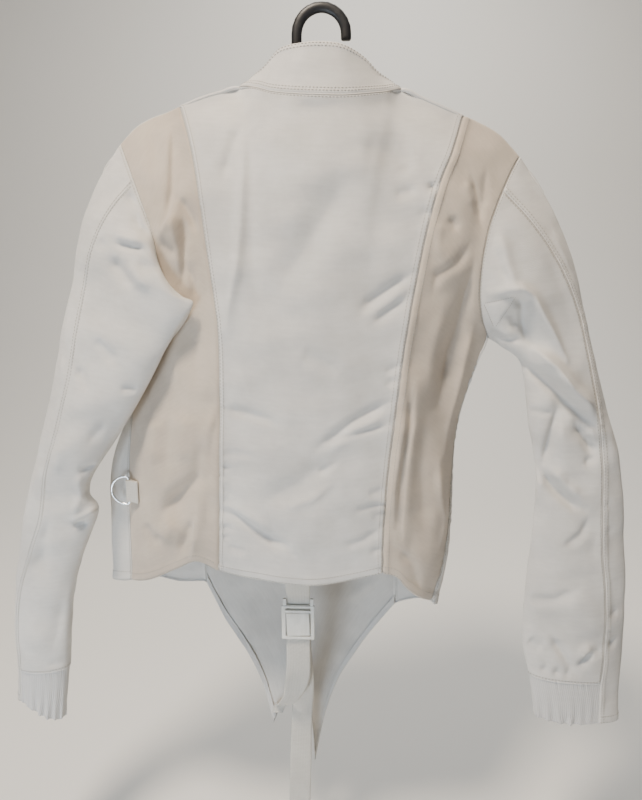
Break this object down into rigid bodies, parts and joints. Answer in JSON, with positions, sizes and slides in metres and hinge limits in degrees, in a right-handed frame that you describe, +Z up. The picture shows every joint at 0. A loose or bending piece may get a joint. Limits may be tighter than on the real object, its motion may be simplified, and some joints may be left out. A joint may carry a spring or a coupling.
{
  "type": "fencing jacket on a hanger",
  "caption": "White fencing jacket seen from the back, on a plastic hanger: stretch side panels, stand collar, gathered cuffs, front zip and a buckled crotch strap",
  "frame": {"origin": "inner top of the hanger's hook, where a peg holds it", "axes": "+Z up along the length, +X to the wearer's right, +Y to the jacket's front; the back faces -Y"},
  "size_m": [0.67, 0.1193, 0.9036],
  "materials": {
    "white_cotton": "matt twill",
    "stretch_cloth": "matt stretch weave",
    "rib_knit": "gathered elastic knit",
    "webbing": "matt woven tape",
    "zip_teeth": "satin",
    "zip_metal": "satin",
    "buckle_plastic": "semi-gloss",
    "ring_steel": "worn nickel plate",
    "hanger_plastic": "satin"
  },
  "bodies": {
    "root": {"back_centre": "white_cotton", "back_side_left": "stretch_cloth", "back_side_right": "stretch_cloth", "front_side_left": "white_cotton", "front_side_right": "white_cotton", "front_left": "white_cotton", "front_right": "white_cotton", "collar": "white_cotton", "sleeve_left_outer": "white_cotton", "sleeve_left_under": "white_cotton", "sleeve_right_outer": "white_cotton", "sleeve_right_under": "white_cotton", "cuff_band_left": "rib_knit", "cuff_band_right": "rib_knit", "hem_turn_left": "white_cotton", "hem_turn_right": "white_cotton", "zip_tape_left": "webbing", "zip_tape_right": "webbing", "zip_chain": "zip_teeth", "zip_slider": "zip_metal", "strap_upper": "webbing", "strap_lower": "webbing", "strap_tail": "webbing", "buckle_frame": "buckle_plastic", "buckle_flap": "buckle_plastic", "d_ring_tab": "webbing", "hanger": "hanger_plastic"},
    "d_ring": {"d_ring": "ring_steel"},
    "zip_pull": {"zip_pull": "zip_metal"}
  },
  "joints": [
    {"name": "d_ring_swing", "type": "hinge", "parent": "root", "child": "d_ring", "pos_m": [-0.20451, -0.01624, -0.468], "axis": [0, 0, 1], "range_deg": [-30, 120]},
    {"name": "zip_pull_swing", "type": "hinge", "parent": "root", "child": "zip_pull", "pos_m": [-0.00239, 0.0514, -0.14795], "axis": [1, 0, 0], "range_deg": [0, 130]}
  ]
}
